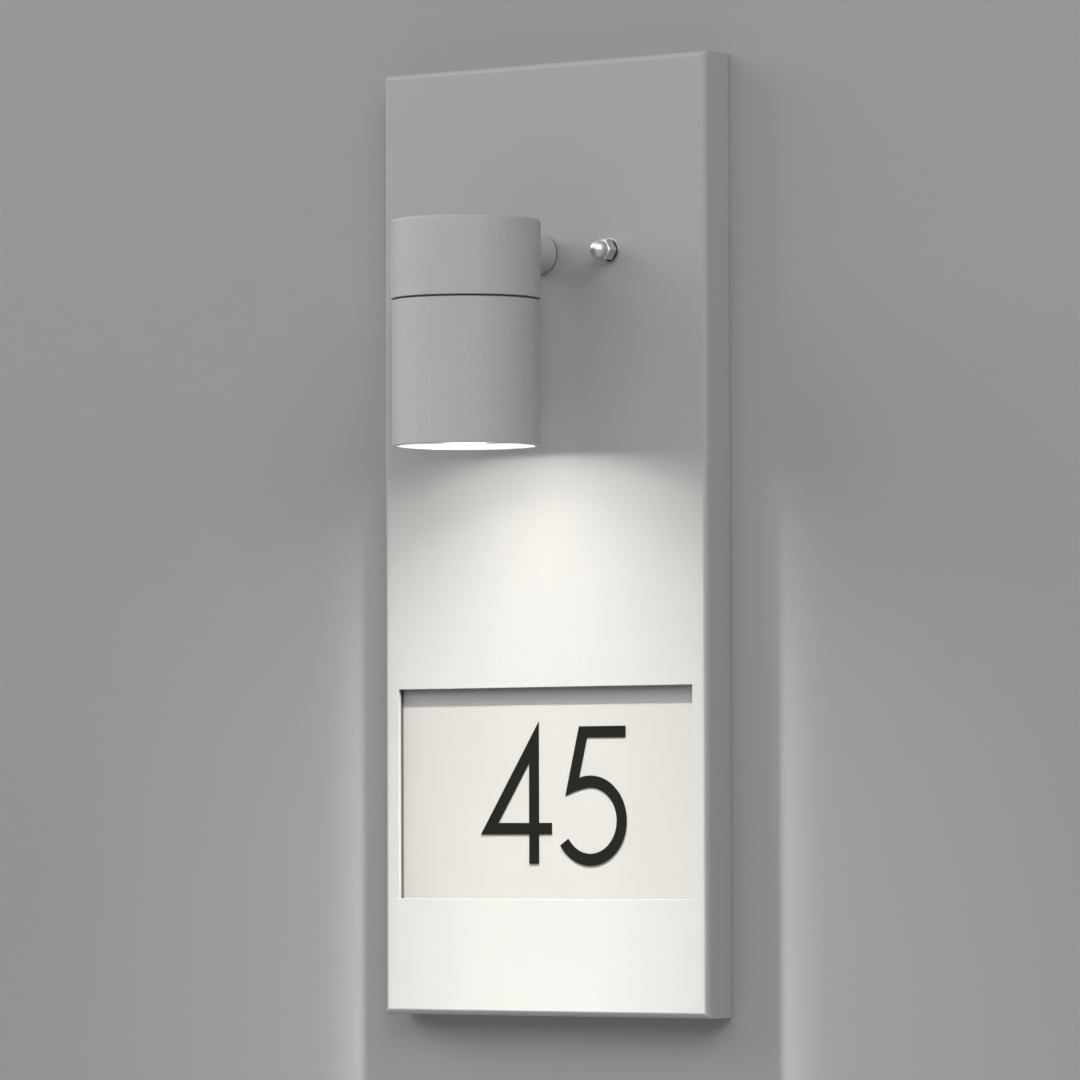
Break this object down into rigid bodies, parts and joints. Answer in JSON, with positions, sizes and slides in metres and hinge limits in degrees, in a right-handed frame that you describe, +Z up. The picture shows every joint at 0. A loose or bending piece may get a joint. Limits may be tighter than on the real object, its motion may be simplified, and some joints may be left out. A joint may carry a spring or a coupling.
{
  "type": "illuminated house number sign",
  "caption": "Outdoor wall sign: folded plate with a recessed number panel, lit by a cylindrical downlight head on a short swivelling arm.",
  "frame": {"origin": "on the arm's swivel axis, in the plane of the wall; also the middle of the two wall slots", "axes": "+Z up, along the plate's height; +Y into the wall, so the sign's front faces -Y; +X to the right as seen from the front"},
  "size_m": [0.167, 0.0975, 0.392],
  "materials": {
    "plate_paint": "satin",
    "panel_paint": "satin",
    "head_paint": "satin",
    "digit_film": "matte",
    "foam": "matte",
    "zinc_steel": "satin",
    "stainless_steel": "satin",
    "black_rubber": "matte",
    "box_plastic": "matte",
    "block_plastic": "satin",
    "brass": "satin",
    "tinned_copper": "satin",
    "earth_wire": "satin",
    "sleeve": "matte",
    "core_insulation": "satin",
    "steatite": "matte",
    "lamp_metal": "satin",
    "led_board": "matte",
    "lamp_lens": "satin",
    "pin_metal": "satin",
    "clear_glass": "gloss",
    "clear_silicone": "satin"
  },
  "bodies": {
    "sign": {"sign_plate": "plate_paint", "number_panel": "panel_paint", "panel_gasket": "foam", "panel_bar_upper": "zinc_steel", "panel_bar_lower": "zinc_steel", "panel_studs": "zinc_steel", "panel_nuts": "zinc_steel", "digit_4": "digit_film", "digit_5": "digit_film", "wall_bracket": "zinc_steel", "bracket_studs": "zinc_steel", "stud_spacers": "zinc_steel", "nut_washers": "stainless_steel", "nut_seals": "black_rubber", "cap_nuts": "stainless_steel", "stop_pins": "zinc_steel", "terminal_box": "box_plastic", "terminal_box_lid": "box_plastic", "lid_screws": "zinc_steel", "box_studs": "zinc_steel", "box_nuts": "zinc_steel", "lead_grommet": "black_rubber", "inlet_grommet": "black_rubber", "terminal_block": "block_plastic", "terminal_clamps": "brass", "terminal_screws": "zinc_steel", "block_screws": "zinc_steel", "earth_stud": "brass", "earth_tag": "tinned_copper", "earth_nut": "brass", "earth_lead": "earth_wire", "tray_lead": "sleeve", "tray_cores": "core_insulation"},
    "head": {"arm_seal": "black_rubber", "arm_tube": "head_paint", "arm_nipple": "brass", "stop_washer": "zinc_steel", "friction_spring": "stainless_steel", "rear_nut": "zinc_steel", "housing_nut": "zinc_steel", "upper_housing": "head_paint", "housing_cap": "head_paint", "housing_o_ring": "black_rubber", "lampholder": "steatite", "holder_contacts": "brass", "holder_strap": "zinc_steel", "strap_screws": "zinc_steel", "holder_screws": "zinc_steel", "head_lead": "sleeve", "head_cores": "core_insulation"},
    "shade": {"shade": "head_paint", "lens_seat": "stainless_steel", "lens_seal": "clear_silicone", "lens_glass": "clear_glass", "lens_ring": "stainless_steel"},
    "lamp": {"lamp_body": "lamp_metal", "lamp_board": "led_board", "lamp_lens": "lamp_lens", "lamp_pins": "pin_metal"}
  },
  "joints": [
    {"name": "head_swivel", "type": "hinge", "parent": "sign", "child": "head", "pos_m": [0, 0, 0], "axis": [0, 1, 0], "range_deg": [-90, 90]},
    {"name": "shade_pull", "type": "slide", "parent": "head", "child": "shade", "axis": [0, 0, -1], "range_m": [0, 0.065]},
    {"name": "lamp_twist", "type": "hinge", "parent": "head", "child": "lamp", "pos_m": [0, -0.067, -0.025], "axis": [0, 0, 1], "range_deg": [-20, 0]}
  ]
}
